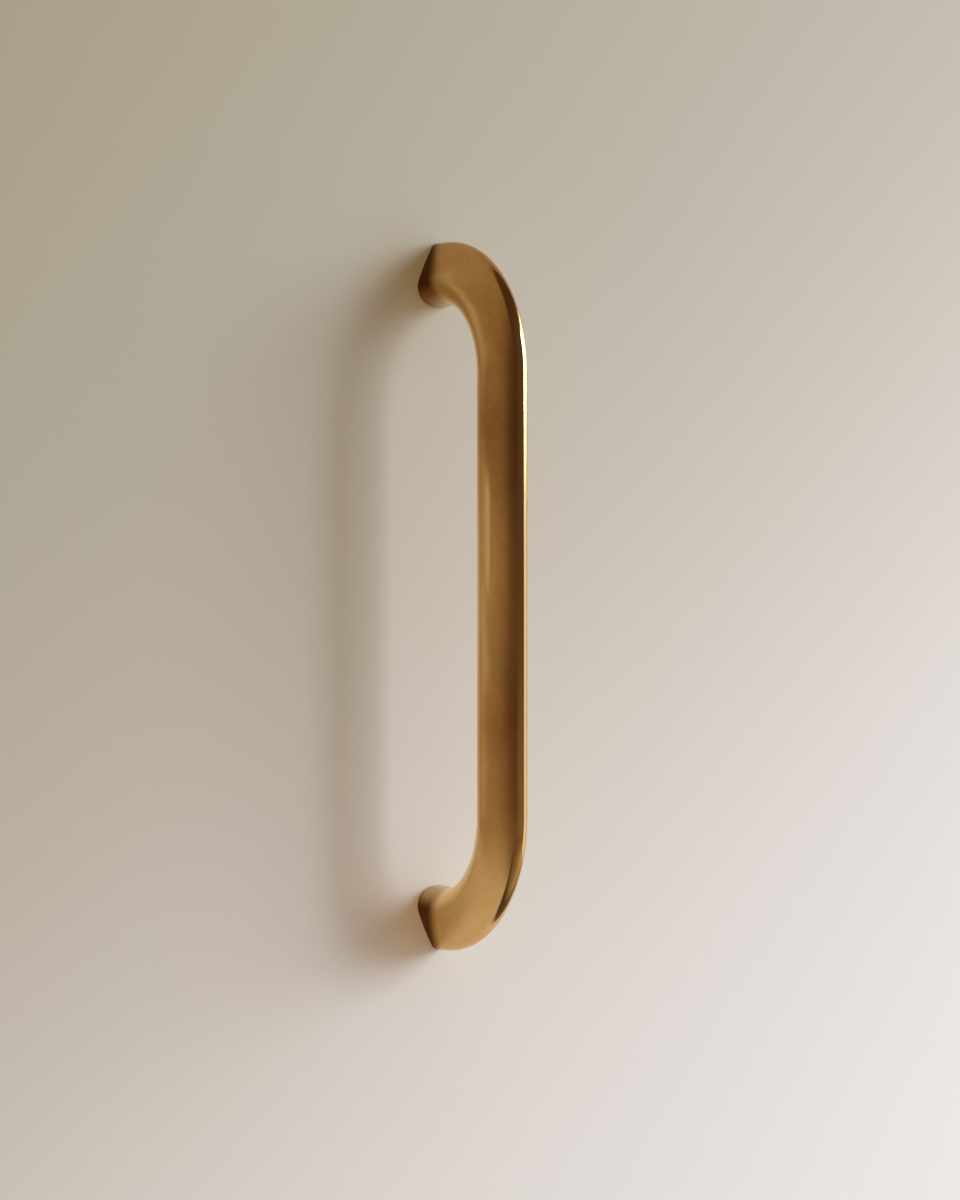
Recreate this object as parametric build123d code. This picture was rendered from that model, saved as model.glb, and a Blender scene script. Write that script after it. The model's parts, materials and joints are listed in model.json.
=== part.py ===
from build123d import *
import os
from math import asin, cos, degrees, radians, sin, tan

# A C-shaped cabinet pull, cast as one piece of solid brass. Millimetres, +Z up along the bar.
# The origin lies on the door's face, midway between the two screw holes, and the pull stands out along -Y.

# Along the door
hole_spacing = 128.0  # between the centres of the two screw holes
hole_inset = 8.0  # from the outer face of a foot to its screw hole

# Out from the door
leg_height = 3.4  # straight part of the outer face, next to the door
bend_radius = 27.8  # of the outer face, in both bends

# The section, a drop: a round nose, two slightly bowed cheeks, two full shoulders and a crowned back
nose_radius = 1.65  # of the nose, which faces the room
cheek_slope = 29.0  # degrees between a cheek and the middle plane, where the cheek leaves the nose
shoulder_depth = 10.6  # from the nose's tip to the corner where a cheek and the back would meet
shoulder_half_width = 5.3  # from the middle to that corner
shoulder_radius = 3.9  # rounds that corner
crown_height = 2.1  # how far the middle of the back stands beyond those corners

# Each foot spreads a little as it comes down to the door
flare_height = 10.0  # where the spreading starts, above the door along the outer face
flare_side = 0.65  # extra half width at the door
flare_back = 0.45  # extra depth at the door
flare_sections = 6  # outlines that shape a foot

# The screw holes, drilled from the door's side for an M4 thread
tap_radius = 1.65  # wall of the hole before its thread is cut
hole_depth = 12.0  # at full width
drill_point_angle = 118.0  # degrees
mouth_chamfer = 0.35

# Worked out from the sizes above
half_length = hole_spacing / 2 + hole_inset
bend_centre_z = half_length - bend_radius
projection = leg_height + bend_radius
foot_top = max(flare_height, leg_height)


def pull_section(extra_side=0.0, extra_back=0.0):
    """The section as a face: x runs across the pull, y from the tip of the nose to the back."""
    half_width = shoulder_half_width + extra_side
    corner_depth = shoulder_depth + extra_back
    slope = radians(cheek_slope)
    nose_x = nose_radius * cos(slope)
    nose_y = nose_radius * (1 - sin(slope))
    outline = [
        ThreePointArc((-nose_x, nose_y), (0, 0), (nose_x, nose_y)),
        TangentArc((nose_x, nose_y), (half_width, corner_depth), tangent=(sin(slope), cos(slope))),
        ThreePointArc((half_width, corner_depth), (0, corner_depth + crown_height), (-half_width, corner_depth)),
        TangentArc((-nose_x, nose_y), (-half_width, corner_depth), tangent=(-sin(slope), cos(slope))),
    ]
    section = make_face(outline)
    return fillet(section.vertices().sort_by(Axis.Y)[-2:], shoulder_radius)


def turn_at(height):
    """How far the upper bend has turned, in radians, where its outer face is this far above the door."""
    return asin(max(height - leg_height, 0) / bend_radius)


def plane_at(height):
    """The plane square to the upper leg or bend there, with its origin on the outer face."""
    turn = turn_at(height)
    origin = (0, -height, bend_centre_z + bend_radius * cos(turn))
    return Plane(origin=origin, x_dir=(1, 0, 0), z_dir=(0, cos(turn), sin(turn)))


def foot():
    """From the door up to where the section stops growing."""
    outlines = []
    for step in range(flare_sections):
        height = foot_top * step / (flare_sections - 1)
        spread = max(1 - height / flare_height, 0) ** 2
        outlines.append(plane_at(height) * pull_section(flare_side * spread, flare_back * spread))
    return loft(outlines)


def bend():
    """From the bar, a quarter turn less the part that belongs to the foot."""
    bar_end = Plane(origin=(0, -projection, bend_centre_z), x_dir=(1, 0, 0), z_dir=(0, 0, 1))
    centre = Axis((0, -leg_height, bend_centre_z), (-1, 0, 0))
    return revolve(bar_end * pull_section(), centre, 90 - degrees(turn_at(foot_top)))


def half_bar():
    """The straight grip, from the middle of the pull up to the bend."""
    middle = Plane(origin=(0, -projection, 0), x_dir=(1, 0, 0), z_dir=(0, 0, 1))
    return extrude(middle * pull_section(), bend_centre_z)


def screw_hole():
    """The drilled hole in the upper foot, with its drill point and a chamfered mouth."""
    point_height = tap_radius / tan(radians(drill_point_angle / 2))
    half_profile = Polyline(
        (0, 0),
        (tap_radius + mouth_chamfer, 0),
        (tap_radius, -mouth_chamfer),
        (tap_radius, -hole_depth),
        (0, -hole_depth - point_height),
        close=True,
    )
    drill = Pos(0, 0, hole_spacing / 2) * make_face(half_profile)
    return revolve(drill, Axis((0, 0, hole_spacing / 2), (0, 1, 0)), 360)


upper_half = half_bar() + bend() + foot() - screw_hole()
pull_body = upper_half + mirror(upper_half, Plane.XY)
pull_body.label = "pull_body"

os.makedirs("parts", exist_ok=True)
export_step(pull_body, "parts/pull_body.step")

print("pull_body: solids", len(pull_body.solids()), "valid", pull_body.is_valid)
print("volume", round(pull_body.volume, 1), "mm3, size", pull_body.bounding_box().size)
print("grip width", round(pull_section().bounding_box().size.X, 3), "depth", shoulder_depth + crown_height)
print("finger room", round(projection - shoulder_depth - crown_height, 2))
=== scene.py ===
# %% [markdown]
# A cabinet pull in aged brass, fixed upright to a painted door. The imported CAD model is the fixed
# frame of this scene: it gives the pull's length, how far it stands out and where its screw holes
# are. Everything is in metres, +Z is up, the door's face is at Y = 0 and the pull stands out
# along -Y.

import json
from math import atan2, cos, pi, radians, sin, sqrt, tan

import bmesh
import bpy
from mathutils import Matrix, Vector


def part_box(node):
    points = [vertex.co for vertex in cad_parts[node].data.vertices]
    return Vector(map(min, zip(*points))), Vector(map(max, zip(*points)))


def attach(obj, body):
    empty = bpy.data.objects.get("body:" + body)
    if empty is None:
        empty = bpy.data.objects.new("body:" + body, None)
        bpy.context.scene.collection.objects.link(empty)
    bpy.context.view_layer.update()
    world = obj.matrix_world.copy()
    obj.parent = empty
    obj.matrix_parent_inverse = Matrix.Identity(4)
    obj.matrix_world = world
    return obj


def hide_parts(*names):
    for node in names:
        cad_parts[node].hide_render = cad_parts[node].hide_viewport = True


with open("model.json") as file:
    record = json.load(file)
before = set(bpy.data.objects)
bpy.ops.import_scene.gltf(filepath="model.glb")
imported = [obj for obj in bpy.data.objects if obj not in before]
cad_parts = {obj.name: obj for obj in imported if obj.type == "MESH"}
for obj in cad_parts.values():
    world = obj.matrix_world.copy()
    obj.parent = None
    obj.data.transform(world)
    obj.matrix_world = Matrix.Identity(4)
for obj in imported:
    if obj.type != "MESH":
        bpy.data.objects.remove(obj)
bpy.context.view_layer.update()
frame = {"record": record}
low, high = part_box("pull_body")
MM = 0.001
HALF_LENGTH = high.z
PROJECTION = -low.y
FOOT_HALF_WIDTH = (high.x - low.x) / 2
holes = next(mount for mount in frame["record"]["mounts"] if mount["name"] == "screw_holes")
HALF_SPACING = holes["dims"]["spacing_y_mm"] / 2 * MM
TAP_RADIUS = holes["dims"]["hole_r_mm"] * MM
print("half length", HALF_LENGTH, "projection", PROJECTION, "half spacing", HALF_SPACING)

# %% [markdown]
# Two small helpers serve every tree below. Colours are written as the sRGB hex values of a paint
# chart, and a shader wants linear light, so one function turns them. The other adds a node, sets
# its properties and feeds its sockets by name or place: from a plain value, from a socket, or
# from another node's output. The settings that many nodes share have names of their own.

# %% Helpers
def linear(hex_colour):
    """An sRGB hex colour as the linear RGBA that a shader takes."""
    values = [int(hex_colour[i:i + 2], 16) / 255 for i in (1, 3, 5)]
    return (*[v / 12.92 if v <= 0.04045 else ((v + 0.055) / 1.055) ** 2.4 for v in values], 1.0)


def add_node(tree, kind, settings=None, sockets=None):
    """A new node in tree, with its properties set and its sockets fed."""
    node = tree.nodes.new(kind)
    for name, value in (settings or {}).items():
        setattr(node, name, value)
    for key, value in (sockets or {}).items():
        if isinstance(value, bpy.types.Node):
            value = next(output for output in value.outputs if output.enabled)
        if isinstance(value, bpy.types.NodeSocket):
            tree.links.new(value, node.inputs[key])
        else:
            node.inputs[key].default_value = value
    return node


ADD, SUBTRACT = {"operation": "ADD"}, {"operation": "SUBTRACT"}
MULTIPLY, DIVIDE = {"operation": "MULTIPLY"}, {"operation": "DIVIDE"}
MULTIPLY_ADD, ABSOLUTE = {"operation": "MULTIPLY_ADD"}, {"operation": "ABSOLUTE"}
SMOOTH = {"interpolation_type": "SMOOTHSTEP"}
OF_COLOURS, OF_NUMBERS = {"data_type": "RGBA"}, {"data_type": "FLOAT"}

# %% [markdown]
# The section of the pull is the same from end to end, and it is shaped like a drop: a small round
# nose that faces the room, two slightly bowed cheeks that widen towards the door, two full
# shoulders and a crowned back for the fingers. All of it is arcs, so a formula draws it: each arc
# is tangent to the one before, and the left half mirrors the right. Here x runs across the pull
# and y from the nose's tip towards the door.

# %% The section's circles
NOSE_RADIUS = 1.65 * MM
CHEEK_SLOPE = radians(29)
SHOULDER_DEPTH = 10.6 * MM
SHOULDER_HALF = 5.3 * MM
SHOULDER_RADIUS = 3.9 * MM
CROWN = 2.1 * MM
SECTION_DEPTH = SHOULDER_DEPTH + CROWN

# A cheek leaves the nose along its slope and would meet the back at the corner.
nose = Vector((0, NOSE_RADIUS))
touch = nose + NOSE_RADIUS * Vector((cos(CHEEK_SLOPE), -sin(CHEEK_SLOPE)))
to_corner = Vector((SHOULDER_HALF, SHOULDER_DEPTH)) - touch
inward = Vector((-cos(CHEEK_SLOPE), sin(CHEEK_SLOPE)))
cheek_radius = to_corner.length_squared / (2 * to_corner.dot(inward))
cheek = touch + inward * cheek_radius
back_radius = (SHOULDER_HALF ** 2 + CROWN ** 2) / (2 * CROWN)
back = Vector((0, SECTION_DEPTH - back_radius))

# The shoulder's circle touches the cheek's and the back's from inside, which fixes its centre.
reach_cheek, reach_back = cheek_radius - SHOULDER_RADIUS, back_radius - SHOULDER_RADIUS
between = back - cheek
along = (reach_cheek ** 2 - reach_back ** 2 + between.length_squared) / (2 * between.length)
aside = sqrt(reach_cheek ** 2 - along ** 2)
unit = between.normalized()
off_line = Vector((unit.y, -unit.x)) * aside
shoulder = max((cheek + unit * along + off_line, cheek + unit * along - off_line),
               key=lambda centre: centre.x)
print("cheek radius", round(cheek_radius / MM, 1), "back radius", round(back_radius / MM, 2), "mm")

# %% The section's points
NOSE_POINTS, CHEEK_POINTS, SHOULDER_POINTS, BACK_POINTS = 16, 14, 18, 9


def arc(centre, radius, start, end, count):
    """Points on an arc from angle start towards angle end, without the last one."""
    angles = [start + (end - start) * i / count for i in range(count)]
    return [(centre.x + radius * cos(a), centre.y + radius * sin(a)) for a in angles]


cheek_end = atan2(shoulder.y - cheek.y, shoulder.x - cheek.x)
shoulder_end = atan2(shoulder.y - back.y, shoulder.x - back.x)
right_half = arc(nose, NOSE_RADIUS, -pi / 2, -CHEEK_SLOPE, NOSE_POINTS)[1:]
right_half += arc(cheek, cheek_radius, -CHEEK_SLOPE, cheek_end, CHEEK_POINTS)
right_half += arc(shoulder, SHOULDER_RADIUS, cheek_end, shoulder_end, SHOULDER_POINTS)
right_half += arc(back, back_radius, shoulder_end, pi / 2, BACK_POINTS)
outline = [(0, 0), *right_half, (0, SECTION_DEPTH), *[(-x, y) for x, y in reversed(right_half)]]

section_curve = bpy.data.curves.new("section", "CURVE")
section_curve.dimensions = "2D"
section_curve.fill_mode = "NONE"
spline = section_curve.splines.new("POLY")
spline.points.add(len(outline) - 1)
for point, (x, y) in zip(spline.points, outline):
    point.co = (x, y, 0, 1)
spline.use_cyclic_u = True
section = bpy.data.objects.new("section", section_curve)
bpy.context.scene.collection.objects.link(section)
SECTION_HALF_WIDTH = max(x for x, y in outline)
print("section of", len(outline), "points, grip width", round(2 * SECTION_HALF_WIDTH / MM, 3), "mm")

# %% [markdown]
# The pull's shape follows one rule: this section leaves the door, rounds a bend, runs down the
# bar and comes back. A Geometry Nodes tree says that rule. A rail of four corners, rounded by the
# bend radius, is the line that the nose's tip follows, and Curve to Mesh carries the section
# along it. Two Set Position nodes then do what a caster and a polisher do by hand. The first
# spreads each foot as it comes down to the door. The second lets the surface roll by a few
# hundredths of a millimetre, which no finger feels but which makes the reflections waver. The
# tree also stores where each point would lie if the pull were straightened out. The patina and
# the polishing marks read that, so they turn with the bends.

# %% The rail and the sweep
BEND_RADIUS = 27.8 * MM
sweep = bpy.data.node_groups.new("pull_sweep", "GeometryNodeTree")
sweep.interface.new_socket("Geometry", in_out="INPUT", socket_type="NodeSocketGeometry")
SIZES = ("Half Length", "Projection", "Bend Radius", "Ring Spacing", "Section Depth",
         "Spread Height", "Spread Across", "Spread Back", "Roll Height", "Roll Across",
         "Roll Along")
for name in SIZES:
    sweep.interface.new_socket(name, in_out="INPUT", socket_type="NodeSocketFloat")
sweep.interface.new_socket("Bend Points", in_out="INPUT", socket_type="NodeSocketInt")
sweep.interface.new_socket("Section", in_out="INPUT", socket_type="NodeSocketObject")
sweep.interface.new_socket("Finish", in_out="INPUT", socket_type="NodeSocketMaterial")
sweep.interface.new_socket("Geometry", in_out="OUTPUT", socket_type="NodeSocketGeometry")
given = sweep.nodes.new("NodeGroupInput").outputs

front = add_node(sweep, "ShaderNodeMath", MULTIPLY, {0: given["Projection"], 1: -1.0})
bottom = add_node(sweep, "ShaderNodeMath", MULTIPLY, {0: given["Half Length"], 1: -1.0})
corners = [add_node(sweep, "ShaderNodeCombineXYZ", {}, {"Y": y, "Z": z}) for y, z in (
    (0.0, given["Half Length"]), (front, given["Half Length"]), (front, bottom), (0.0, bottom))]
rail = add_node(sweep, "GeometryNodeCurvePrimitiveQuadrilateral", {"mode": "POINTS"},
                {f"Point {i + 1}": corner for i, corner in enumerate(corners)})
rail = add_node(sweep, "GeometryNodeSetSplineCyclic", {}, {"Geometry": rail, "Cyclic": False})
rail = add_node(sweep, "GeometryNodeFilletCurve", {"mode": "POLY"},
                {"Curve": rail, "Count": given["Bend Points"], "Radius": given["Bend Radius"]})
rail = add_node(sweep, "GeometryNodeResampleCurve", {"mode": "LENGTH"},
                {"Curve": rail, "Length": given["Ring Spacing"]})

place = add_node(sweep, "GeometryNodeInputPosition")
progress = add_node(sweep, "GeometryNodeSplineParameter")
rail_noted = add_node(sweep, "GeometryNodeCaptureAttribute")
rail_noted.capture_items.new("VECTOR", "Rail Place")
rail_noted.capture_items.new("FLOAT", "Rail Length")
sweep.links.new(rail.outputs[0], rail_noted.inputs[0])
sweep.links.new(place.outputs[0], rail_noted.inputs[1])
sweep.links.new(progress.outputs["Length"], rail_noted.inputs[2])
shape = add_node(sweep, "GeometryNodeObjectInfo", {}, {"Object": given["Section"]})
section_noted = add_node(sweep, "GeometryNodeCaptureAttribute")
section_noted.capture_items.new("VECTOR", "Section Place")
sweep.links.new(shape.outputs["Geometry"], section_noted.inputs[0])
sweep.links.new(place.outputs[0], section_noted.inputs[1])
swept = add_node(sweep, "GeometryNodeCurveToMesh", {}, {
    "Curve": rail_noted.outputs[0], "Profile Curve": section_noted.outputs[0], "Fill Caps": True})
on_rail = add_node(sweep, "ShaderNodeSeparateXYZ", {}, {"Vector": rail_noted.outputs[1]})
across = add_node(sweep, "ShaderNodeSeparateXYZ", {}, {"Vector": section_noted.outputs[1]})
straightened = add_node(sweep, "ShaderNodeCombineXYZ", {}, {
    "X": across.outputs["X"], "Y": across.outputs["Y"], "Z": rail_noted.outputs[2]})
marked = add_node(sweep, "GeometryNodeStoreNamedAttribute",
                  {"data_type": "FLOAT_VECTOR", "domain": "POINT"},
                  {"Geometry": swept, "Name": "straightened", "Value": straightened})
print("rail and sweep:", len(sweep.nodes), "nodes")

# %% The spread of the feet
spread_end = add_node(sweep, "ShaderNodeMath", MULTIPLY, {0: given["Spread Height"], 1: -1.0})
nearness = add_node(sweep, "ShaderNodeMapRange", {"clamp": True}, {
    "Value": on_rail.outputs["Y"], "From Min": 0.0, "From Max": spread_end, "To Min": 1.0,
    "To Max": 0.0})
spread = add_node(sweep, "ShaderNodeMath", {"operation": "POWER"}, {0: nearness, 1: 2.0})
end_sign = add_node(sweep, "ShaderNodeMath", {"operation": "SIGN"}, {0: on_rail.outputs["Z"]})
depth_share = add_node(sweep, "ShaderNodeMath", DIVIDE, {
    0: across.outputs["Y"], 1: given["Section Depth"]})
back_move = add_node(sweep, "ShaderNodeMath", MULTIPLY, {0: depth_share, 1: given["Spread Back"]})
inward = add_node(sweep, "ShaderNodeMath", MULTIPLY, {0: back_move, 1: end_sign})
inward = add_node(sweep, "ShaderNodeMath", MULTIPLY, {0: inward, 1: -1.0})
here = add_node(sweep, "ShaderNodeSeparateXYZ", {}, {"Vector": place})
sideways = add_node(sweep, "ShaderNodeMath", MULTIPLY, {
    0: here.outputs["X"], 1: given["Spread Across"]})
foot_move = add_node(sweep, "ShaderNodeCombineXYZ", {}, {"X": sideways, "Z": inward})
foot_move = add_node(sweep, "ShaderNodeVectorMath", {"operation": "SCALE"}, {
    "Vector": foot_move, "Scale": spread})
footed = add_node(sweep, "GeometryNodeSetPosition", {}, {"Geometry": marked, "Offset": foot_move})
print("feet added:", len(sweep.nodes), "nodes")

# %% The roll of the surface
roll_scale = add_node(sweep, "ShaderNodeCombineXYZ", {}, {
    "X": given["Roll Across"], "Y": given["Roll Across"], "Z": given["Roll Along"]})
rolling = add_node(sweep, "ShaderNodeVectorMath", DIVIDE, {0: straightened, 1: roll_scale})
waves = add_node(sweep, "ShaderNodeTexNoise", {}, {
    "Vector": rolling, "Scale": 1.0, "Detail": 1.0, "Roughness": 0.4})
clear_of_door = add_node(sweep, "ShaderNodeMath", SUBTRACT, {0: 1.0, 1: nearness})
roll = add_node(sweep, "ShaderNodeMath", MULTIPLY, {0: waves, 1: given["Roll Height"]})
roll = add_node(sweep, "ShaderNodeMath", MULTIPLY, {0: roll, 1: clear_of_door})
roll = add_node(sweep, "ShaderNodeMath", MULTIPLY, {0: roll, 1: -1.0})
facing = add_node(sweep, "GeometryNodeInputNormal")
roll_move = add_node(sweep, "ShaderNodeVectorMath", {"operation": "SCALE"}, {
    "Vector": facing, "Scale": roll})
rolled = add_node(sweep, "GeometryNodeSetPosition", {}, {"Geometry": footed, "Offset": roll_move})
real = add_node(sweep, "GeometryNodeRealizeInstances", {}, {"Geometry": rolled})
finished = add_node(sweep, "GeometryNodeSetMaterial", {}, {
    "Geometry": real, "Material": given["Finish"]})
add_node(sweep, "NodeGroupOutput", {}, {"Geometry": finished})
print("surface rolled:", len(sweep.nodes), "nodes")

# %% Run the tree
def as_made(thing):
    """The mesh of an object as its modifiers or its curve's fill make it."""
    bpy.context.view_layer.update()
    evaluated = thing.evaluated_get(bpy.context.evaluated_depsgraph_get())
    return bpy.data.meshes.new_from_object(evaluated)


aged_brass = bpy.data.materials.new("aged_satin_brass")
values = {
    "Half Length": HALF_LENGTH, "Projection": PROJECTION, "Bend Radius": BEND_RADIUS,
    "Ring Spacing": 0.5 * MM, "Bend Points": 90, "Section Depth": SECTION_DEPTH,
    "Spread Height": 10.0 * MM, "Spread Across": FOOT_HALF_WIDTH / SECTION_HALF_WIDTH - 1,
    "Spread Back": 0.45 * MM, "Roll Height": 0.06 * MM, "Roll Across": 12.0 * MM,
    "Roll Along": 42.0 * MM, "Section": section, "Finish": aged_brass}
pull = bpy.data.objects.new("brass_pull", bpy.data.meshes.new("empty"))
bpy.context.scene.collection.objects.link(pull)
modifier = pull.modifiers.new("sweep", "NODES")
modifier.node_group = sweep
for item in sweep.interface.items_tree:
    if item.item_type == "SOCKET" and item.in_out == "INPUT" and item.name in values:
        modifier[item.identifier] = values[item.name]
swept_mesh = as_made(pull)
pull.modifiers.clear()
pull.data = swept_mesh
bpy.data.objects.remove(section)
print("swept", len(pull.data.polygons), "faces, box", [round(d / MM, 2) for d in pull.dimensions])

# %% [markdown]
# Each foot is filed flat where it meets the door, and the file leaves its rim slightly eased. The
# rim is found by its place, on the door's face, and bevelled by a seventh of a millimetre. The
# feet's outlines are kept, because the door gets an opening of the same shape under each foot.

# %% Ease the rims of the feet
ON_DOOR = 0.001 * MM  # what lies closer to the door's face than this lies on it
TO_DOOR = 0.99  # a face whose normal leans further than this towards the door faces it
RIM_EASE = 0.14 * MM
MANY_CORNERS = 20  # a foot's own face has more, and every other face has fewer
solid = bmesh.new()
solid.from_mesh(pull.data)
bmesh.ops.remove_doubles(solid, verts=solid.verts, dist=ON_DOOR)
bmesh.ops.recalc_face_normals(solid, faces=solid.faces)
rim = [e for e in solid.edges if all(abs(v.co.y) < ON_DOOR for v in e.verts)]
bmesh.ops.bevel(solid, geom=rim, offset=RIM_EASE, segments=3, affect="EDGES", profile=0.5)
foot_faces = [f for f in solid.faces if f.normal.y > TO_DOOR and len(f.verts) > MANY_CORNERS]
foot_outlines = [[(v.co.x, v.co.z) for v in f.verts] for f in foot_faces]
solid.to_mesh(pull.data)
solid.free()
print("eased", len(rim), "edges; foot faces", [len(points) for points in foot_outlines])

# %% [markdown]
# A screw comes through the door into each foot, so each foot has a blind hole: drilled,
# countersunk a little at its mouth and tapped. A tap cuts a V-shaped groove that climbs by one
# pitch in each turn. The cutter is that tap's shape, a tube whose radius depends on its depth and
# on the angle round it, and a boolean takes it away from the foot. Each foot's face and its hole
# show freshly cut metal.

# %% The tap's shape
THREAD_PITCH = 0.7 * MM
THREAD_RADIUS = 2.0 * MM
THREAD_LENGTH = 9.0 * MM
RUN_OUT = 1.4 * MM
DRILL_DEPTH = 12.0 * MM
POINT_ANGLE = radians(118)
MOUTH_RADIUS = 2.25 * MM
AROUND = 40
ring_step = THREAD_PITCH / 8
depths = [ring_step * i for i in range(-3, int(DRILL_DEPTH / ring_step) + 1)]


def tap_radius(depth, angle):
    """The cutter's radius at a depth below the foot's face and an angle round the hole."""
    turn = (depth / THREAD_PITCH + angle / (2 * pi)) % 1
    groove = 1 - abs(2 * turn - 1)
    cut = min(max((THREAD_LENGTH + RUN_OUT - depth) / RUN_OUT, 0), 1)
    thread = TAP_RADIUS + (THREAD_RADIUS - TAP_RADIUS) * groove * cut
    return max(thread, MOUTH_RADIUS - max(depth, 0))


cut_brass = bpy.data.materials.new("freshly_tapped_brass")
tap_mesh = bpy.data.meshes.new("tap")
tap = bmesh.new()
angles = [2 * pi * i / AROUND for i in range(AROUND)]
rings = [[tap.verts.new((tap_radius(d, a) * cos(a), -d, tap_radius(d, a) * sin(a))) for a in angles]
         for d in depths]
tip = tap.verts.new((0, -depths[-1] - TAP_RADIUS / tan(POINT_ANGLE / 2), 0))
tap.faces.new(rings[0])
for upper, lower in zip(rings, rings[1:]):
    for i in range(AROUND):
        tap.faces.new((upper[i - 1], upper[i], lower[i], lower[i - 1]))
for i in range(AROUND):
    tap.faces.new((rings[-1][i - 1], rings[-1][i], tip))
bmesh.ops.recalc_face_normals(tap, faces=tap.faces)
tap.to_mesh(tap_mesh)
tap.free()
tap_mesh.materials.append(cut_brass)
print("tap of", len(tap_mesh.polygons), "faces,", round(THREAD_LENGTH / THREAD_PITCH, 1), "turns")

# %% Tap the holes
SHARP_ANGLE = radians(32)  # edges sharper than this stay sharp to the eye
filed_brass = bpy.data.materials.new("filed_brass")
taps = []
for end in (1, -1):
    placed = bpy.data.objects.new(f"tap_{len(taps)}", tap_mesh)
    placed.location.z = end * HALF_SPACING
    bpy.context.scene.collection.objects.link(placed)
    cut = pull.modifiers.new(placed.name, "BOOLEAN")
    cut.object = placed
    cut.solver = "EXACT"
    cut.material_mode = "TRANSFER"
    taps.append(placed)
tapped_mesh = as_made(pull)
pull.modifiers.clear()
pull.data = tapped_mesh
for placed in taps:
    bpy.data.objects.remove(placed)
tapped_mesh.materials.append(filed_brass)
for face in tapped_mesh.polygons:
    face.use_smooth = True
    if face.normal.y > TO_DOOR and abs(face.center.y) < ON_DOOR:
        face.material_index = len(tapped_mesh.materials) - 1
tapped_mesh.set_sharp_from_angle(angle=SHARP_ANGLE)
print("tapped:", len(tapped_mesh.polygons), "faces,", [m.name for m in tapped_mesh.materials])

# %% [markdown]
# Aged satin brass. The casting was rubbed to a satin and left unlacquered, so the air has browned
# it. Brass is a metal, so all its colour is in its reflection: the base colour is that of a white
# wall mirrored in it. A ramp of three colours holds it, from amber brown to pale gold, and a sum
# says how pale a point is. It adds up where the point lies along the pull, as some lengths are
# paler than others, how deep it lies, since the shoulders are paler than the cheeks, soft clouds
# 8 mm across and 22 mm long, a mottle of 1.4 mm, and a painted highlight: one pale streak halfway
# down a cheek that stands for a bright line of reflected light.

# %% The brass's patina
CLOUD = 8.0 * MM
CLOUD_LENGTH = 22.0 * MM
MOTTLE = 1.4 * MM
MOTTLE_SHARE = 0.2
CLOUD_WAVE = 5.0 * MM  # how far the clouds shift the edge between a cheek and its shoulder
SHOULDER_FROM, SHOULDER_TO = 9.0 * MM, 11.0 * MM
CHEEK_PALENESS, SHOULDER_PALENESS = -0.7, -0.36
BEND_LENGTH = pi / 2 * BEND_RADIUS
RAIL_LENGTH = 2 * (HALF_LENGTH + PROJECTION - 2 * BEND_RADIUS + BEND_LENGTH)
# How pale the brass is at each share of the rail's length: some lengths are paler than others.
PATINA_ALONG = (  # share of the rail's length from the top, paleness
    (0.0, 0.56), (0.13, 0.5), (0.26, 0.46), (0.35, 0.16), (0.45, 0.68),
    (0.54, 0.55), (0.63, 0.26), (0.72, 0.36), (0.82, 0.95), (1.0, 1.0))
aged_brass.use_nodes = True
tree = aged_brass.node_tree
tree.nodes.clear()
straight = add_node(tree, "ShaderNodeAttribute", {"attribute_name": "straightened"})
straight = straight.outputs["Vector"]
at = add_node(tree, "ShaderNodeSeparateXYZ", {}, {"Vector": straight})
stretched = add_node(tree, "ShaderNodeVectorMath", DIVIDE, {
    0: straight, 1: (CLOUD, CLOUD, CLOUD_LENGTH)})
clouds = add_node(tree, "ShaderNodeTexNoise", {}, {
    "Vector": stretched, "Scale": 1.0, "Detail": 2.0, "Roughness": 0.45, "Distortion": 0.2})
mottle = add_node(tree, "ShaderNodeTexNoise", {}, {
    "Vector": straight, "Scale": 1 / MOTTLE, "Detail": 2.0, "Roughness": 0.5})
tone = add_node(tree, "ShaderNodeMix", OF_NUMBERS, {
    "Factor": MOTTLE_SHARE, 2: clouds, 3: mottle})
way = add_node(tree, "ShaderNodeMath", DIVIDE, {0: at.outputs["Z"], 1: RAIL_LENGTH})
paleness_along = add_node(tree, "ShaderNodeValToRGB", {}, {"Fac": way})
paleness_along.color_ramp.interpolation = "B_SPLINE"
while len(paleness_along.color_ramp.elements) < len(PATINA_ALONG):
    paleness_along.color_ramp.elements.new(0.5)
for element, (position, paleness) in zip(paleness_along.color_ramp.elements, PATINA_ALONG):
    element.position = position
    element.color = (paleness, paleness, paleness, 1.0)
wavy_depth = add_node(tree, "ShaderNodeMath", MULTIPLY_ADD, {
    0: clouds, 1: CLOUD_WAVE, 2: at.outputs["Y"]})
by_shoulder = add_node(tree, "ShaderNodeMapRange", SMOOTH, {
    "Value": wavy_depth, "From Min": SHOULDER_FROM, "From Max": SHOULDER_TO,
    "To Min": CHEEK_PALENESS, "To Max": SHOULDER_PALENESS})
paleness = add_node(tree, "ShaderNodeMath", ADD, {0: tone, 1: by_shoulder})
paleness = add_node(tree, "ShaderNodeMath", ADD, {0: paleness_along, 1: paleness})
print("clouds and lengths:", len(tree.nodes), "nodes")
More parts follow.
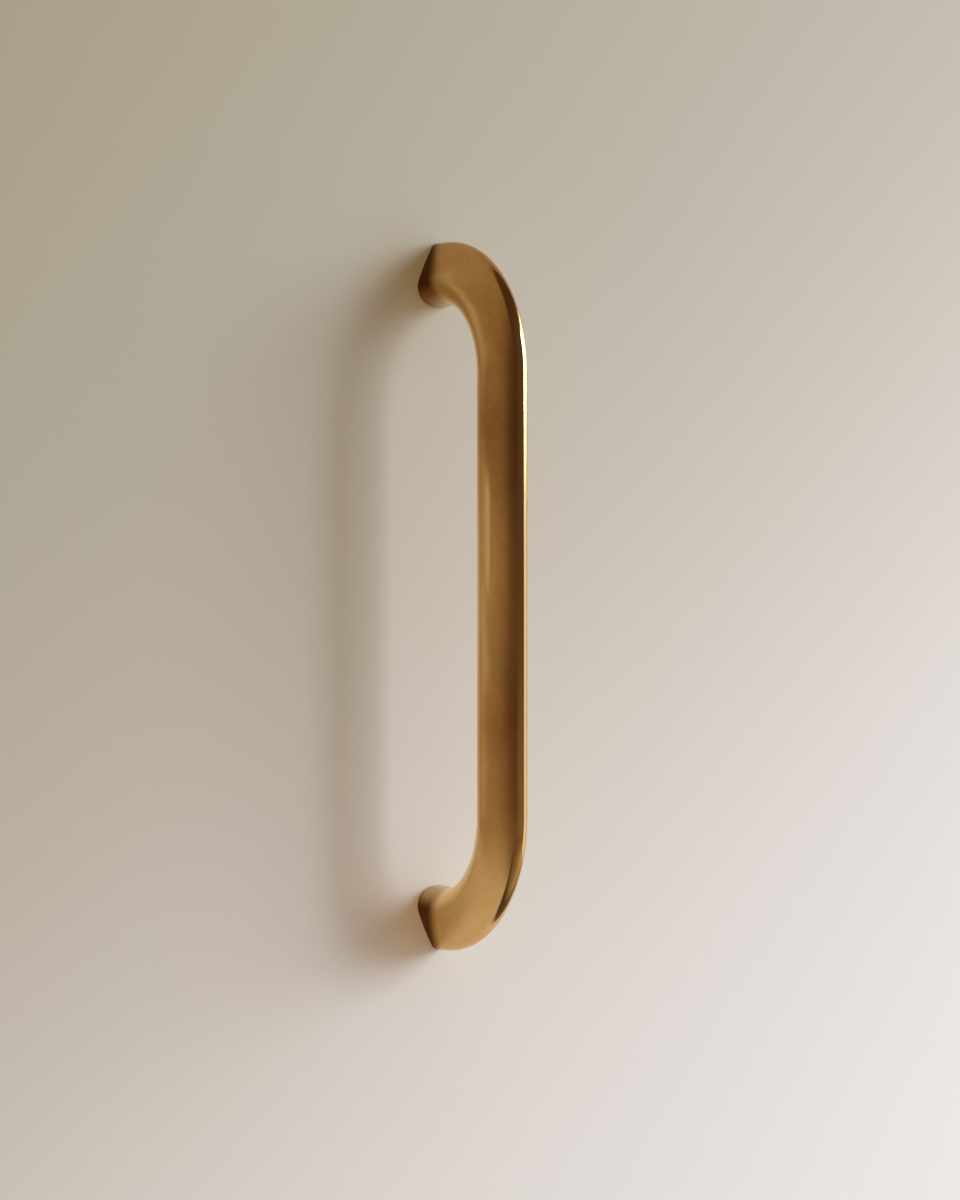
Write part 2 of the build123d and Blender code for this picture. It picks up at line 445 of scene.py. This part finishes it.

# %% The painted highlight and the tones
# Painted highlight: a narrow pale streak on the cheek, halfway down the bar.
PAINTED_HIGHLIGHT_DEPTH, PAINTED_HIGHLIGHT_MIDDLE = 6.8 * MM, 79.0 * MM  # from the nose's tip, and along the rail
SIDE_FULL, SIDE_END = 0.2 * MM, 0.8 * MM  # fully bright to the first, gone from the second
LENGTH_FULL, LENGTH_END = 3.0 * MM, 15.0 * MM
PAINTED_HIGHLIGHT_PALENESS = 0.95
BRASS_TONES = ((0.0, "#B5814C"), (0.5, "#E3B16F"), (1.0, "#F8D694"))
aside = add_node(tree, "ShaderNodeMath", SUBTRACT, {0: at.outputs["Y"], 1: PAINTED_HIGHLIGHT_DEPTH})
aside = add_node(tree, "ShaderNodeMath", ABSOLUTE, {0: aside})
aside = add_node(tree, "ShaderNodeMapRange", SMOOTH, {
    "Value": aside, "From Min": SIDE_FULL, "From Max": SIDE_END,
    "To Min": PAINTED_HIGHLIGHT_PALENESS, "To Max": 0.0})
highlight_along = add_node(tree, "ShaderNodeMath", SUBTRACT, {0: at.outputs["Z"], 1: PAINTED_HIGHLIGHT_MIDDLE})
highlight_along = add_node(tree, "ShaderNodeMath", ABSOLUTE, {0: highlight_along})
highlight_along = add_node(tree, "ShaderNodeMapRange", SMOOTH, {
    "Value": highlight_along, "From Min": LENGTH_FULL, "From Max": LENGTH_END,
    "To Min": 1.0, "To Max": 0.0})
paleness = add_node(tree, "ShaderNodeMath", MULTIPLY_ADD, {0: aside, 1: highlight_along, 2: paleness})
patina = add_node(tree, "ShaderNodeValToRGB", {}, {"Fac": paleness})
patina.color_ramp.elements.new(0.5)
for element, (position, colour) in zip(patina.color_ramp.elements, BRASS_TONES):
    element.position = position
    element.color = linear(colour)
print("patina:", len(tree.nodes), "nodes")

# %% [markdown]
# The nose is the edge that hands and cloths reach first, so along the grip it is yellow and
# smooth. Next to the door the sides of the feet are painted dark brown, in a wedge that widens
# towards the back: painted shade, for the shadowed door that they mirror in the corner. Polishing
# ran along the pull and left hairlines, drawn here 0.15 mm wide, some three times the real
# width, because a real one is too fine to show. The
# roughness follows the clouds, since tarnish scatters light.

# %% The painted shade in the corners at the feet
# Painted shade: a brown wedge on the sides of the feet next to the door, for the shadowed door that
# they mirror.
CORNER_HEIGHT = 3.5 * MM
CORNER_SLANT = 0.4  # how steeply the wedge climbs towards the back
CORNER_SHADE_BROWN = "#6E4420"
here = add_node(tree, "ShaderNodeTexCoord").outputs["Object"]
here = add_node(tree, "ShaderNodeSeparateXYZ", {}, {"Vector": here})
slanting = add_node(tree, "ShaderNodeMath", MULTIPLY_ADD, {
    0: at.outputs["Y"], 1: CORNER_SLANT, 2: here.outputs["Y"]})
painted_corner_shade = add_node(tree, "ShaderNodeMapRange", SMOOTH, {
    "Value": slanting, "From Min": -CORNER_HEIGHT, "From Max": 0.2 * MM})

# The inner face of a foot, whose normal points to the pull's middle, mirrors the lit door below
# it, so it gets less of the painted shade than its sides.
facing = add_node(tree, "ShaderNodeNewGeometry").outputs["Normal"]
facing = add_node(tree, "ShaderNodeSeparateXYZ", {}, {"Vector": facing})
outward = add_node(tree, "ShaderNodeMath", MULTIPLY, {
    0: facing.outputs["Z"], 1: here.outputs["Z"]})
outward = add_node(tree, "ShaderNodeMapRange", SMOOTH, {
    "Value": outward, "From Min": -0.8 * HALF_LENGTH, "From Max": 0.1 * HALF_LENGTH,
    "To Min": 0.45})
painted_corner_shade = add_node(tree, "ShaderNodeMath", MULTIPLY, {0: painted_corner_shade, 1: outward})
# The patina is mixed towards brown where the painted corner shade falls.
cheeks = add_node(tree, "ShaderNodeMix", OF_COLOURS, {
    "Factor": painted_corner_shade, 6: patina, 7: linear(CORNER_SHADE_BROWN)})
print("dark corners:", len(tree.nodes), "nodes")

# %% The worn nose
WEAR_REACH = 1.2 * MM
GRIP_FULL, GRIP_END = 50.0 * MM, 60.0 * MM  # along the rail, from its middle
WORN_YELLOW = "#EDBF7C"

# How worn a point is: how deep it lies behind the nose's tip, over a reach that the clouds vary.
reach = add_node(tree, "ShaderNodeMath", MULTIPLY, {0: clouds, 1: WEAR_REACH})
worn = add_node(tree, "ShaderNodeMath", DIVIDE, {0: at.outputs["Y"], 1: reach})
worn = add_node(tree, "ShaderNodeMapRange", SMOOTH, {
    "Value": worn, "From Min": 0.2, "From Max": 1.4, "To Min": 1.0, "To Max": 0.0})
from_middle = add_node(tree, "ShaderNodeMath", SUBTRACT, {
    0: at.outputs["Z"], 1: RAIL_LENGTH / 2})
from_middle = add_node(tree, "ShaderNodeMath", ABSOLUTE, {0: from_middle})
on_grip = add_node(tree, "ShaderNodeMapRange", SMOOTH, {
    "Value": from_middle, "From Min": GRIP_FULL, "From Max": GRIP_END,
    "To Min": 1.0, "To Max": 0.0})
worn = add_node(tree, "ShaderNodeMath", MULTIPLY, {0: worn, 1: on_grip})
colour = add_node(tree, "ShaderNodeMix", OF_COLOURS, {
    "Factor": worn, 6: cheeks, 7: linear(WORN_YELLOW)})
print("worn nose:", len(tree.nodes), "nodes")

# %% The hairlines and the brass
HAIRLINE_WIDTH = 0.15 * MM
HAIRLINE_LENGTH = 9.0 * MM
RELIEF_HEIGHT = 0.05 * MM
TARNISHED_ROUGH, CLEAN_ROUGH, WORN_ROUGH = 0.19, 0.14, 0.09
dull = add_node(tree, "ShaderNodeMapRange", {}, {
    "Value": tone, "From Min": 0.3, "From Max": 0.7,
    "To Min": TARNISHED_ROUGH, "To Max": CLEAN_ROUGH})
rough = add_node(tree, "ShaderNodeMix", OF_NUMBERS, {"Factor": worn, 2: dull, 3: WORN_ROUGH})
drawn_out = add_node(tree, "ShaderNodeVectorMath", DIVIDE, {
    0: straight, 1: (HAIRLINE_WIDTH, HAIRLINE_WIDTH, HAIRLINE_LENGTH)})
hairlines = add_node(tree, "ShaderNodeTexNoise", {}, {
    "Vector": drawn_out, "Scale": 1.0, "Detail": 3.0, "Roughness": 0.55})
relief = add_node(tree, "ShaderNodeMix", OF_NUMBERS, {"Factor": 0.5, 2: hairlines, 3: mottle})
bump = add_node(tree, "ShaderNodeBump", {}, {
    "Strength": 0.06, "Distance": RELIEF_HEIGHT, "Height": relief})
shader = add_node(tree, "ShaderNodeBsdfPrincipled", {}, {
    "Base Color": colour, "Metallic": 1.0, "Roughness": rough, "Normal": bump})
add_node(tree, "ShaderNodeOutputMaterial", {}, {"Surface": shader})
print("aged satin brass:", len(tree.nodes), "nodes")

# %% [markdown]
# Cut brass has had no time to tarnish, so it is paler and yellower than the rest. The hole keeps
# the rings that a tap leaves, round its axis, and the foot's flat face the straight strokes of a
# file, about 0.2 mm apart. Both are the same metal with a pattern stretched in another direction.

# %% Freshly cut brass
MARK_WIDTH = 0.2 * MM
MARK_LENGTH = 6.0 * MM
MARK_HEIGHT = 0.03 * MM
CUT_TONES = "#D9B36C", "#F0D596"
for material, roughness, marks in (
        (cut_brass, 0.24, (MARK_LENGTH, MARK_WIDTH, MARK_LENGTH)),
        (filed_brass, 0.33, (MARK_LENGTH, MARK_WIDTH, MARK_WIDTH))):
    material.use_nodes = True
    tree = material.node_tree
    tree.nodes.clear()
    place = add_node(tree, "ShaderNodeTexCoord").outputs["Object"]
    stretched = add_node(tree, "ShaderNodeVectorMath", DIVIDE, {0: place, 1: marks})
    lines = add_node(tree, "ShaderNodeTexNoise", {}, {
        "Vector": stretched, "Scale": 1.0, "Detail": 2.0})
    colour = add_node(tree, "ShaderNodeMix", OF_COLOURS, {
        "Factor": lines, 6: linear(CUT_TONES[0]), 7: linear(CUT_TONES[1])})
    bump = add_node(tree, "ShaderNodeBump", {}, {
        "Strength": 0.3, "Distance": MARK_HEIGHT, "Height": lines})
    shader = add_node(tree, "ShaderNodeBsdfPrincipled", {}, {
        "Base Color": colour, "Metallic": 1.0, "Roughness": roughness, "Normal": bump})
    add_node(tree, "ShaderNodeOutputMaterial", {}, {"Surface": shader})
    print(material.name, "with", len(tree.nodes), "nodes")

# %% [markdown]
# The door is the stage. It carries the pull's shadow, and the cheeks mirror it, so it matters as
# much as the lamps. It is one flat sheet at Y = 0, with an opening the shape of each foot so that
# nothing lies on the feet's own faces: a flat curve with two inner loops, filled and made a mesh.
# Seen from behind, it lets everything through, which keeps the pull in sight. The paint is warm
# eggshell. Its tone is worked out from the place on the door, from a shaded sage grey at the top
# left to nearly white at the lower right, because the light in the room falls off that way: that
# fall-off is painted light in the paint's tone. The far end of the door lies in the dark, and that
# shade is painted into the tone too.
#
# A third of the light on a real door has bounced round the room first and casts no shadow. The
# paint adds that share itself, as a weak glow that only the camera and mirroring surfaces see, so
# it puts no light on the brass. Close to the feet that light comes off brass, and there the glow
# turns brown: an Ambient Occlusion node, tilted towards the window, tells how open each point is.

# %% The door
DOOR_HALF = 0.75
FLOOR_LEVEL = -1.0
door_curve = bpy.data.curves.new("door", "CURVE")
door_curve.dimensions = "2D"
door_curve.fill_mode = "FRONT"
sheet = [(-DOOR_HALF, FLOOR_LEVEL), (DOOR_HALF, FLOOR_LEVEL),
         (DOOR_HALF, DOOR_HALF), (-DOOR_HALF, DOOR_HALF)]
for loop in (sheet, *foot_outlines):
    spline = door_curve.splines.new("POLY")
    spline.points.add(len(loop) - 1)
    for point, (x, z) in zip(spline.points, loop):
        point.co = (x, z, 0, 1)
    spline.use_cyclic_u = True
flat = bpy.data.objects.new("flat", door_curve)
bpy.context.scene.collection.objects.link(flat)
door_mesh = as_made(flat)
bpy.data.objects.remove(flat)
door_mesh.transform(Matrix.Rotation(radians(90), 4, "X"))
if door_mesh.polygons[0].normal.y > 0:
    door_mesh.flip_normals()
door = bpy.data.objects.new("door", door_mesh)
bpy.context.scene.collection.objects.link(door)
print("door of", len(door_mesh.polygons), "faces, facing", door_mesh.polygons[0].normal)

# %% The door's paint
# Painted light: these tones carry the room light's fall-off across the door as well as the paint's
# own colour.
PAINT_TONES = (
    (0, "#7A664C"), (0.2, "#AC967A"), (0.34, "#A69A7B"), (0.48, "#AFA592"),
    (0.62, "#BDB2A0"), (0.76, "#DACFC8"), (0.88, "#E5DEDA"), (1, "#EEE7E2"))
PAINT_SLOPE = (1.8, 0.0, -3.0)  # the way in which the paint grows paler, and how fast per metre
DARK_END, LIT_FROM = -0.72, -0.52  # the far end of the door
PAINT_GRAIN = 0.6 * MM
paint = bpy.data.materials.new("eggshell_paint")
paint.use_nodes = True
tree = paint.node_tree
tree.nodes.clear()
place = add_node(tree, "ShaderNodeTexCoord").outputs["Object"]
slope = add_node(tree, "ShaderNodeVectorMath", {"operation": "DOT_PRODUCT"}, {
    0: place, 1: PAINT_SLOPE})
shade = add_node(tree, "ShaderNodeMapRange", {}, {
    "Value": slope.outputs["Value"], "From Min": -1.2, "From Max": 0.7})
tones = add_node(tree, "ShaderNodeValToRGB", {}, {"Fac": shade})
tones.color_ramp.interpolation = "B_SPLINE"
while len(tones.color_ramp.elements) < len(PAINT_TONES):
    tones.color_ramp.elements.new(0.5)
for element, (position, tone) in zip(tones.color_ramp.elements, PAINT_TONES):
    element.position = position
    element.color = linear(tone)
along = add_node(tree, "ShaderNodeSeparateXYZ", {}, {"Vector": place})
# Painted shade: the tones fall to a quarter towards the door's far end, which lies in the dark.
far_side = add_node(tree, "ShaderNodeMapRange", SMOOTH, {
    "Value": along.outputs["X"], "From Min": DARK_END, "From Max": LIT_FROM,
    "To Min": 0.25, "To Max": 1.0})
tones = add_node(tree, "ShaderNodeVectorMath", {"operation": "SCALE"}, {
    "Vector": tones, "Scale": far_side})
grain = add_node(tree, "ShaderNodeTexNoise", {}, {
    "Vector": place, "Scale": 1 / PAINT_GRAIN, "Detail": 2.0})
bump = add_node(tree, "ShaderNodeBump", {}, {
    "Strength": 0.15, "Distance": 0.02 * MM, "Height": grain})
coat = add_node(tree, "ShaderNodeBsdfPrincipled", {}, {
    "Base Color": tones, "Roughness": 0.6, "Normal": bump})
print("coat of paint:", len(tree.nodes), "nodes")

# %% The room's light on the paint
ROOM_LIGHT = "#A39C91"
CORNER_LIGHT = "#9F8558"
CORNER_REACH = 18.0 * MM
FROM_WINDOW = (0.85, -0.5, 0.15)
from_window = add_node(tree, "ShaderNodeCombineXYZ", {}, dict(zip("XYZ", FROM_WINDOW)))
openness = add_node(tree, "ShaderNodeAmbientOcclusion", {"samples": 8}, {
    "Distance": CORNER_REACH, "Normal": from_window})
openness = add_node(tree, "ShaderNodeMath", {"operation": "POWER"}, {
    0: openness.outputs["AO"], 1: 2.0})
room_light = add_node(tree, "ShaderNodeMix", OF_COLOURS, {
    "Factor": openness, 6: linear(CORNER_LIGHT), 7: linear(ROOM_LIGHT)})
room_light = add_node(tree, "ShaderNodeMix", {"data_type": "RGBA", "blend_type": "MULTIPLY"}, {
    "Factor": 1.0, 6: tones, 7: room_light})
ray = add_node(tree, "ShaderNodeLightPath")
seen = add_node(tree, "ShaderNodeMath", ADD, {
    0: ray.outputs["Is Camera Ray"], 1: ray.outputs["Is Glossy Ray"]})
seen = add_node(tree, "ShaderNodeMath", {"operation": "ADD", "use_clamp": True}, {
    0: seen, 1: ray.outputs["Is Transmission Ray"]})
glow = add_node(tree, "ShaderNodeEmission", {}, {"Color": room_light, "Strength": seen})
coat = add_node(tree, "ShaderNodeAddShader", {}, {0: coat, 1: glow})
through = add_node(tree, "ShaderNodeBsdfTransparent")
side = add_node(tree, "ShaderNodeNewGeometry")
shown = add_node(tree, "ShaderNodeMixShader", {}, {
    0: side.outputs["Backfacing"], 1: coat, 2: through})
add_node(tree, "ShaderNodeOutputMaterial", {}, {"Surface": shown})
door_mesh.materials.clear()
door_mesh.materials.append(paint)
print("paint with", len(tree.nodes), "nodes")

# %% [markdown]
# The floor is plain and pale, and darker towards the door, where the cabinet shades it. The lower
# bend mirrors that darker part.

# %% The floor
FLOOR_HALF = 3
FLOOR_TONES = "#B59F82", "#BFA98C"
FLOOR_SHADE = "#6B5240"
SHADE_FULL, SHADE_END = 0.3, 0.6  # from the door
floor_mesh = bpy.data.meshes.new("floor")
corners = [(FLOOR_HALF * x, FLOOR_HALF * y, FLOOR_LEVEL)
           for x, y in ((-1, -1), (1, -1), (1, 1), (-1, 1))]
floor_mesh.from_pydata(corners, [], [(0, 1, 2, 3)])
floor = bpy.data.objects.new("floor", floor_mesh)
bpy.context.scene.collection.objects.link(floor)
pale = bpy.data.materials.new("pale_floor")
pale.use_nodes = True
tree = pale.node_tree
tree.nodes.clear()
place = add_node(tree, "ShaderNodeTexCoord").outputs["Object"]
drift = add_node(tree, "ShaderNodeTexNoise", {}, {"Vector": place, "Scale": 3.0, "Detail": 2.0})
floor_tone = add_node(tree, "ShaderNodeMix", OF_COLOURS, {
    "Factor": drift, 6: linear(FLOOR_TONES[0]), 7: linear(FLOOR_TONES[1])})
to_door = add_node(tree, "ShaderNodeSeparateXYZ", {}, {"Vector": place})
to_door = add_node(tree, "ShaderNodeMath", ABSOLUTE, {0: to_door.outputs["Y"]})
shaded = add_node(tree, "ShaderNodeMapRange", SMOOTH, {
    "Value": to_door, "From Min": SHADE_FULL, "From Max": SHADE_END, "To Min": 1.0, "To Max": 0.0})
colour = add_node(tree, "ShaderNodeMix", OF_COLOURS, {
    "Factor": shaded, 6: floor_tone, 7: linear(FLOOR_SHADE)})
shader = add_node(tree, "ShaderNodeBsdfPrincipled", {}, {"Base Color": colour, "Roughness": 0.8})
add_node(tree, "ShaderNodeOutputMaterial", {}, {"Surface": shader})
floor_mesh.materials.append(pale)
print("floor at", FLOOR_LEVEL)

# %% [markdown]
# The light is that of a room with a wide window to the right, most of it behind a thin curtain.
# Three area lamps side by side make the window: the open pane is the brightest and gives the
# bar's shadow its edge, and the veiled pane and the lit curtain are weaker and soften it. The
# sill and the daylit floor below it are two dim lamps. The nose mirrors all five in one bright
# line, white above and yellow below. The world is the rest of the room, dim and brown, and the
# nose mirrors that in the dark line beside the bright one. Past the door's edges the room is
# pale.

# %% The lamps
LAMPS = (  # name, azimuth from the door's normal, elevation, width, height, watts
    ("open_pane", 40, 17.6, 0.32, 1.05, 17.5),
    ("veiled_pane", 54.1, 17.6, 0.76, 1.05, 17.8),
    ("lit_curtain", 76, 17.6, 0.935, 1.05, 16.0),
    ("sill", 61, 3.5, 1.96, 0.065, 1.1),
    ("below_window", 61, -11, 1.96, 1.06, 6.6))
LAMP_DISTANCE = 2.2
DAYLIGHT = "#DAEDFF"
for name, azimuth, elevation, width, height, watts in LAMPS:
    light = bpy.data.lights.new(name, "AREA")
    light.shape = "RECTANGLE"
    light.size, light.size_y = width, height
    light.energy = watts
    light.color = linear(DAYLIGHT)[:3]
    lamp = bpy.data.objects.new(name, light)
    a, e = radians(azimuth), radians(elevation)
    towards = Vector((sin(a) * cos(e), -cos(a) * cos(e), sin(e)))
    lamp.location = towards * LAMP_DISTANCE
    lamp.rotation_euler = towards.to_track_quat("Z", "Y").to_euler()
    bpy.context.scene.collection.objects.link(lamp)
    print(name, "at", [round(v, 2) for v in lamp.location])

# %% The room
LOW_WALL, HIGH_WALL, WINDOW_WALL, BEHIND_DOOR = "#8A7460", "#5C4C3F", "#80705F", "#D8D2C8"
world = bpy.data.worlds.new("room")
world.use_nodes = True
bpy.context.scene.world = world
tree = world.node_tree
tree.nodes.clear()
towards = add_node(tree, "ShaderNodeTexCoord").outputs["Generated"]
sides = add_node(tree, "ShaderNodeSeparateXYZ", {}, {"Vector": towards})
rightward = add_node(tree, "ShaderNodeMapRange", SMOOTH, {
    "Value": sides.outputs["X"], "From Min": 0.55, "From Max": 0.95})
upward = add_node(tree, "ShaderNodeMapRange", SMOOTH, {
    "Value": sides.outputs["Z"], "From Min": -0.04, "From Max": 0.005})
dim_side = add_node(tree, "ShaderNodeMix", OF_COLOURS, {
    "Factor": upward, 6: linear(LOW_WALL), 7: linear(HIGH_WALL)})
in_front = add_node(tree, "ShaderNodeMix", OF_COLOURS, {
    "Factor": rightward, 6: dim_side, 7: linear(WINDOW_WALL)})
behind = add_node(tree, "ShaderNodeMapRange", SMOOTH, {
    "Value": sides.outputs["Y"], "From Min": 0.0, "From Max": 0.3})
tone = add_node(tree, "ShaderNodeMix", OF_COLOURS, {
    "Factor": behind, 6: in_front, 7: linear(BEHIND_DOOR)})
background = add_node(tree, "ShaderNodeBackground", {}, {"Color": tone, "Strength": 0.9})
add_node(tree, "ShaderNodeOutputWorld", {}, {"Surface": background})
print("room with", len(tree.nodes), "nodes")

# %% [markdown]
# The camera stands to the left of the pull, turned 33 degrees from the door's normal and a little
# below the pull's middle, as far off as a long lens needs. How wide the cheeks and the feet look
# gives the angle, and how much larger the bar looks than its feet gives the distance. The pull's
# length over the pixels that it covers gives the scale, so every number is a count of pixels in a
# 960 by 1200 frame.

# %% The camera
FRAME_WIDTH, FRAME_HEIGHT = 960, 1200
LENGTH_IN_FRAME = 706.0
DISTANCE = 4200
ORIGIN = (438.0, 596.2)  # where the point midway between the screw holes is seen
EYE_LEVEL = 629.6
CAMERA_TURN = radians(33)
pixel = 2 * HALF_LENGTH / LENGTH_IN_FRAME
forward = Vector((sin(CAMERA_TURN), cos(CAMERA_TURN), 0))
to_right = Vector((cos(CAMERA_TURN), -sin(CAMERA_TURN), 0))
upward = Vector((0, 0, 1))
camera_data = bpy.data.cameras.new("camera")
camera_data.lens = camera_data.sensor_width * DISTANCE / FRAME_HEIGHT
camera_data.clip_start = 0.01
camera = bpy.data.objects.new("camera", camera_data)
camera.location = -forward * DISTANCE * pixel - upward * (EYE_LEVEL - ORIGIN[1]) * pixel
looking = (forward * DISTANCE + to_right * (FRAME_WIDTH / 2 - ORIGIN[0])
           + upward * (EYE_LEVEL - FRAME_HEIGHT / 2))
camera.rotation_euler = looking.to_track_quat("-Z", "Y").to_euler()
bpy.context.scene.collection.objects.link(camera)
bpy.context.scene.camera = camera
bpy.context.scene.view_settings.view_transform = "Standard"
print("camera at", [round(v, 3) for v in camera.location], "lens", round(camera_data.lens, 1))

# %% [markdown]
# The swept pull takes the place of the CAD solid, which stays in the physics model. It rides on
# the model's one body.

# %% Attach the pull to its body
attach(pull, "root")
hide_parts("pull_body")
